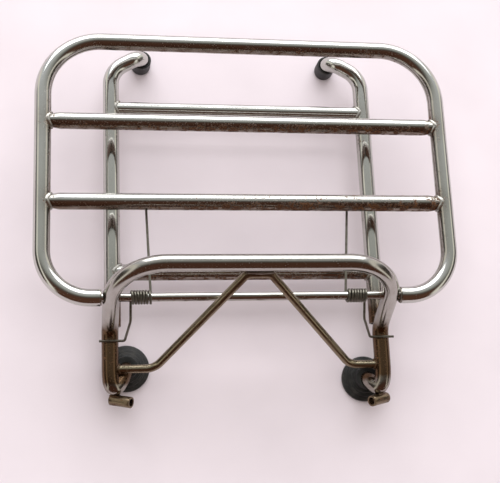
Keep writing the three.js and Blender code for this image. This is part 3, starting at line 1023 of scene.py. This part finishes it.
class RACK_OT_springs(bpy.types.Operator):
    """Wind the two torsion springs: their coils and hooks, and their long arms"""

    bl_idname = "rack.springs"
    bl_label = "Springs"

    FRAME_TURNS = 6                 # turns that stay with the frame
    JOINT_TURNS = 0.03              # gap, in turns, between the long arm's own turn and the frame's
    TIP_BEND = 2.4 * MM             # bend radius where a long arm turns up into the crossbar's hole
    TIP_DEPTH = 4 * MM              # how far the tip goes into the crossbar
    HOOK_ROOM = 0.1 * MM            # between a hook and the hoop's lower leg, which it lies on

    def execute(self, context):
        sizes = context.scene.rack_sizes
        for name, side in SIDES.items():
            tip_x = side * sizes.arm_tip_x
            y = CROSSBAR_Y["lower_crossbar"] - HINGE.y
            behind = -(TUBE_R + sizes.wire_radius + self.TIP_BEND)
            arm = bent_line([
                (from_hinge(coil_x(sizes, side, 0), 0, -sizes.coil_radius), 0),
                (from_hinge(tip_x, y, behind), self.TIP_BEND),
                (from_hinge(tip_x, y, self.TIP_DEPTH - TUBE_R), 0),
            ])
            own_turn = coil_turns(sizes, side, 1, 0)
            self.wind(sizes, f"{name}_spring_arm", own_turn[:-1] + arm, "carrier")
            last = 1 + self.FRAME_TURNS
            over_leg = FRAME_Z - HINGE.z + TUBE_R + sizes.wire_radius + self.HOOK_ROOM
            hook = bent_line([
                (from_hinge(coil_x(sizes, side, last), 0, -sizes.coil_radius), 0),
                (from_hinge(coil_x(sizes, side, last), -20 * MM, -12 * MM), 8 * MM),
                (from_hinge(side * (HOOP_X - TUBE_R - 5.5 * MM), -sizes.hook_y, over_leg), 2.5 * MM),
                (from_hinge(side * sizes.hook_end_x, -sizes.hook_y, over_leg), 0),
            ])
            turns = coil_turns(sizes, side, 1 + self.JOINT_TURNS, last)
            self.wind(sizes, f"{name}_spring_coil", turns[:-1] + hook, "frame")
        return {"FINISHED"}

    def wind(self, sizes, name, route, body):
        """A length of spring wire along a route."""
        tube_piece(name, route, sizes.wire_radius, "Oiled_spring_wire", body, sides=WIRE_SIDES,
                   edge=0.25 * MM)


BEAD_SIDES = 12                     # round a bead's thickness
LUMP = 5 * MM                       # about how long a bead's lumps are
RIPPLE = 1.5 * MM                   # from one ripple of the welder's hand to the next


def bead(name, points, radii, closed, body, seed, film=0.35):
    """A weld bead: a lumpy ridge along a line of points, with the ripples of the welder's hand. An open
    bead narrows towards its ends."""
    count = len(points)
    run = 0.0
    rings, space = [], []
    for i, point in enumerate(points):
        after = points[(i + 1) % count] if closed else points[min(i + 1, count - 1)]
        before = points[i - 1] if closed else points[max(i - 1, 0)]
        tangent = (after - before).normalized()
        helper = UP if abs(tangent.dot(UP)) < 0.8 else Vector((1, 0, 0))
        across = (helper - tangent * helper.dot(tangent)).normalized()
        other = tangent.cross(across)
        lump = noise.noise(point / LUMP + Vector((seed, 0, 0)))
        size = radii[i] * (1 + 0.12 * lump + 0.03 * math.sin(2 * math.pi * run / RIPPLE))
        if not closed:
            size *= math.sin(math.pi * (i + 0.6) / (count + 0.2)) ** 0.4
        turns = [2 * math.pi * k / BEAD_SIDES for k in range(BEAD_SIDES)]
        ring = [point + round_way(across, other, turn) * size for turn in turns]
        space += [tuple(place / MM) for place in ring]
        rings.append(ring)
        run += (after - point).length
    verts, faces = mesh_from_rings(rings, BEAD_SIDES, closed)
    if not closed:
        faces += end_faces(count, BEAD_SIDES)
    make_piece(name, verts, faces, space, lambda place, normal: (0.4, film), "Plated_weld", body)


WELD_REACH = 6 * TUBE_R             # a line that goes further has missed the piece
WELD_START = 4 * TUBE_R             # how far in from a bar's end the lines start
WELD_LINES = 72                     # round one tube
JUST_INSIDE = 0.985                 # the lines run at this share of the tube's radius


def weld_ring(name, onto, start, direction, radius, bead_radius, body, seed, film=0.35):
    """A bead round the end of a tube that meets another piece. The tube's own lines are followed from
    start in a direction until they reach that piece. On top and underneath, where the two run level, it
    lies low and wide."""
    tree = BVHTree.FromPolygons([v.co for v in onto.data.vertices], [p.vertices for p in onto.data.polygons])
    direction = direction.normalized()
    across = (UP - direction * UP.dot(direction)).normalized()
    other = direction.cross(across)
    ring = []
    for k in range(WELD_LINES):
        angle = 2 * math.pi * k / WELD_LINES
        out = round_way(across, other, angle)
        level = abs(math.cos(angle))
        thick = bead_radius * (1 + 0.3 * level)
        hit = tree.ray_cast(start + out * radius * JUST_INSIDE, direction, WELD_REACH)[0]
        if hit is None:
            ring.append(None)
            continue
        sunk = (out - direction) * 0.1 * (1 - level) - out * 0.5 * level
        ring.append((hit + sunk * thick, thick))
    closed = None not in ring
    if not closed:
        first = next(k for k in range(WELD_LINES) if ring[k] and not ring[k - 1])
        ring = [spot for spot in ring[first:] + ring[:first] if spot]
    if len(ring) < WELD_LINES / 2:
        raise RuntimeError(f"{name} doesn't meet the piece it is welded to")
    points, radii = zip(*ring)
    bead(name, points, radii, closed, body, seed, film)


def standing_for(node):
    """The finished piece that stands for a CAD node."""
    return next(o for o in bpy.data.objects if o.name.startswith(node) and "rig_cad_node" not in o)


class RACK_OT_welds(bpy.types.Operator):
    """Lay the weld beads at every joint"""

    bl_idname = "rack.welds"
    bl_label = "Weld beads"

    SLEEVE_RISE = 0.3 * MM          # above the foot bend's surface
    SLEEVE_APART = 2.4 * MM         # from the line where the sleeve touches, to each side
    SLEEVE_STEP = 0.45 * MM         # from one point of a bead to the next
    SLEEVE_BEAD = 1.5 * MM          # half a bead's thickness
    TOP_RISE = 3.1 * MM             # from the brace's middle line towards the hoop's bar
    TOP_APART = 2.9 * MM            # from the line where the brace touches, to each side
    TOP_OVERRUN = 2 * MM            # past each end of the brace's flat top
    TOP_BEAD = 1.7 * MM

    def execute(self, context):
        sizes = context.scene.rack_sizes
        size = sizes.weld_radius
        for name, side in SIDES.items():
            out = Vector((side, 0, 0))
            for bar, y in CROSSBAR_Y.items():
                start = Vector((side * (CARRIER_X - WELD_START), y, HINGE.z))
                radius = TUBE_R * (1 - sizes.crossbar_swage)
                weld_ring(f"{name}_{bar}_weld", standing_for("carrier_loop"), start, out, radius, size,
                          "carrier", seed=side + y)
            for bar, y in TIE_Y.items():
                radius = TUBE_R if bar == "lower_tie_bar" else UPPER_TIE_R
                start = Vector((side * (LEG_X - WELD_START), y, FRAME_Z))
                weld_ring(f"{name}_{bar}_weld", standing_for(f"{name}_support_leg"), start, out, radius,
                          0.8 * size, "frame", seed=side + y)
            start = Vector((side * (HOOP_X - WELD_START), HINGE.y - sizes.brace_y, FRAME_Z))
            weld_ring(f"{name}_brace_weld", standing_for("hoop_tube"), start, out, sizes.brace_radius,
                      0.7 * size, "frame", seed=side, film=1.2)
            start = Vector((side * LEG_X, HINGE.y + 2 * TUBE_R, FRAME_Z))
            weld_ring(f"{name}_leg_weld", standing_for("hoop_tube"), start, Vector((0, -1, 0)), TUBE_R,
                      size, "frame", seed=side * 2, film=0.9)
            self.sleeve(sizes, name)
        self.brace_top(sizes)
        return {"FINISHED"}

    def sleeve(self, sizes, name):
        """A run of weld along each side of the line where a bolt sleeve lies on the foot bend."""
        way = sleeve_way(name)
        steps = [sizes.sleeve_length * (k / 20 - 0.5) for k in range(21)]
        pairs = [(bend, SLEEVE[name] + way * step) for bend in foot_bend(sizes, name) for step in steps]
        bend, axis = min(pairs, key=lambda pair: (pair[0] - pair[1]).length)
        toward = (axis - bend).normalized()
        across = toward.cross(way).normalized()
        for number, side in enumerate((-1, 1), start=1):
            line = bend + toward * (TUBE_R + self.SLEEVE_RISE) + across * side * self.SLEEVE_APART
            points = [line + way * self.SLEEVE_STEP * (k - 10) for k in range(21)]
            bead(f"{name}_sleeve_weld_{number}", points, [self.SLEEVE_BEAD] * len(points), False,
                 "frame", seed=9 + side, film=1.2)

    def brace_top(self, sizes):
        """Two short runs of weld between the brace's flat top and the hoop's bar."""
        route = brace_route(sizes)
        top = max(route, key=lambda p: p.z)
        bar = Vector((0, HOOP_TOP_Y, HOOP_TOP_Z))
        toward = Vector((0, bar.y - top.y, bar.z - top.z)).normalized()
        across = Vector((0, -toward.z, toward.y))
        half = sizes.brace_top_x + self.TOP_OVERRUN
        for number, side in enumerate((-1, 1), start=1):
            line = Vector((0, top.y, top.z)) + toward * self.TOP_RISE + across * side * self.TOP_APART
            points = [line + Vector((half * (k / 12 - 1), 0, 0)) for k in range(25)]
            bead(f"brace_top_weld_{number}", points, [self.TOP_BEAD] * len(points), False, "frame",
                 seed=5 + side, film=0.9)


class RACK_OT_stage(bpy.types.Operator):
    """Set the floor, the soft light and the camera"""

    bl_idname = "rack.stage"
    bl_label = "Stage"

    WINDOW_PLACE = Vector((0.3, 5.25, 2.85))
    WINDOW_SIZE = (8.4, 4.5)
    FILL_PLACE = Vector((0, 0, 2.5))
    FILL_SIZE = (3.0, 3.0)

    def execute(self, context):
        scene = context.scene
        stage = scene.rack_stage
        half = stage.floor_size / 2
        mesh = bpy.data.meshes.new("floor")
        mesh.from_pydata([(-half, -half, 0), (half, -half, 0), (half, half, 0), (-half, half, 0)], [],
                         [(0, 1, 2, 3)])
        mesh.materials.append(finish_called("Pale_floor")[0])
        floor = bpy.data.objects.new("floor", mesh)
        scene.collection.objects.link(floor)
        self.room(scene)
        self.lamp("window", self.WINDOW_PLACE, self.WINDOW_SIZE, stage.window_power)
        fill = self.lamp("fill", self.FILL_PLACE, self.FILL_SIZE, stage.fill_power)
        fill.visible_glossy = False
        scene.view_settings.view_transform = "Standard"
        camera = bpy.data.cameras.new("camera")
        camera.lens = stage.lens
        viewer = bpy.data.objects.new("camera", camera)
        viewer.location = HINGE + Vector(stage.camera_place)
        viewer.rotation_euler = Euler(stage.camera_turn)
        scene.collection.objects.link(viewer)
        scene.camera = viewer
        return {"FINISHED"}

    def lamp(self, name, place, size, power):
        """A rectangular soft light at a place, turned to face the rack's middle on the floor."""
        light = bpy.data.lights.new(name, "AREA")
        light.shape = "RECTANGLE"
        light.size, light.size_y = size
        light.energy = power
        lamp = bpy.data.objects.new(name, light)
        lamp.location = place
        lamp.rotation_euler = (-place).to_track_quat("-Z", "Y").to_euler()
        bpy.context.scene.collection.objects.link(lamp)
        return lamp

    def room(self, scene):
        """A dim room for the chrome to mirror: grey overhead, dark away from the window. Seen straight, it
        is a plain pale wall."""
        world = bpy.data.worlds.new("room")
        world.use_nodes = True
        scene.world = world
        tree = world.node_tree
        tree.nodes.clear()
        way = add_node(tree, "ShaderNodeTexCoord", give="Generated")
        parts = add_node(tree, "ShaderNodeSeparateXYZ", {0: way}).node.outputs
        to_window = add_node(tree, "ShaderNodeMapRange", {
            "Value": parts["Y"], "From Min": -0.6, "From Max": 0.6})
        shades = add_node(tree, "ShaderNodeValToRGB", {"Fac": to_window})
        stops = shades.node.color_ramp.elements
        stops[0].position, stops[0].color = 0.12, rgba((0.12, 0.055, 0.035))
        stops[1].position, stops[1].color = 1.0, rgba((0.80, 0.82, 0.86))
        for place, shade in ((0.34, (0.10, 0.065, 0.05)), (0.5, (0.20, 0.195, 0.18)),
                             (0.62, (0.42, 0.43, 0.40)), (0.75, (0.56, 0.57, 0.55))):
            stops.new(place).color = rgba(shade)
        # Far to each side a bright upright strip, and past it a dark wall.
        sideways = add_node(tree, "ShaderNodeMath", {0: parts["X"]}, operation="ABSOLUTE")
        rise, fall, wall = [
            add_node(tree, "ShaderNodeMapRange", {
                "Value": sideways, "From Min": start, "From Max": end, "To Min": first, "To Max": last})
            for start, end, first, last in (
                (0.68, 0.76, 0.0, 1.0), (0.84, 0.90, 1.0, 0.0), (0.88, 0.96, 0.0, 1.0))]
        strip = add_node(tree, "ShaderNodeMath", {0: rise, 1: fall}, operation="MULTIPLY")
        seen = add_node(tree, "ShaderNodeLightPath", give="Is Camera Ray")
        room = shades
        for share, shade in ((strip, (1.1, 1.06, 0.95)), (wall, (0.08, 0.07, 0.06)),
                             (seen, (0.88, 0.84, 0.86))):
            room = add_node(tree, "ShaderNodeMix", {0: share, MIX_A: room, MIX_B: rgba(shade)}, MIXED,
                            data_type="RGBA")
        back = add_node(tree, "ShaderNodeBackground", {"Color": room, "Strength": 1.0})
        add_node(tree, "ShaderNodeOutputWorld", {"Surface": back})


class RACK_PT_panel(bpy.types.Panel):
    """Lists the rack's pieces, sizes and finishes"""

    bl_idname = "RACK_PT_panel"
    bl_label = "Luggage rack"
    bl_space_type = "VIEW_3D"
    bl_region_type = "UI"
    bl_category = "Luggage rack"

    def draw(self, context):
        for operator in PIECES:
            self.layout.operator(operator.bl_idname)
        for group in (context.scene.rack_sizes, context.scene.rack_finish, context.scene.rack_stage):
            box = self.layout.box()
            for name in group.__annotations__:
                box.prop(group, name)


PIECES = (
    RACK_OT_carrier_loop,
    RACK_OT_crossbars,
    RACK_OT_hoop,
    RACK_OT_hinge,
    RACK_OT_tie_bars,
    RACK_OT_support_legs,
    RACK_OT_brace,
    RACK_OT_bolt_sleeves,
    RACK_OT_disc_feet,
    RACK_OT_tip_caps,
    RACK_OT_springs,
    RACK_OT_welds,
    RACK_OT_stage,
)
GROUPS = {"rack_sizes": RackSizes, "rack_finish": RackFinish, "rack_stage": StageSettings}


def register():
    for cls in (*GROUPS.values(), *PIECES, RACK_PT_panel):
        bpy.utils.register_class(cls)
    for name, group in GROUPS.items():
        setattr(bpy.types.Scene, name, bpy.props.PointerProperty(type=group))


def unregister():
    for name in GROUPS:
        delattr(bpy.types.Scene, name)
    for cls in (RACK_PT_panel, *reversed(PIECES), *GROUPS.values()):
        bpy.utils.unregister_class(cls)


def main():
    register()
    for operator in PIECES:
        group, name = operator.bl_idname.split(".")
        getattr(getattr(bpy.ops, group), name)()


if __name__ == "__main__":
    main()
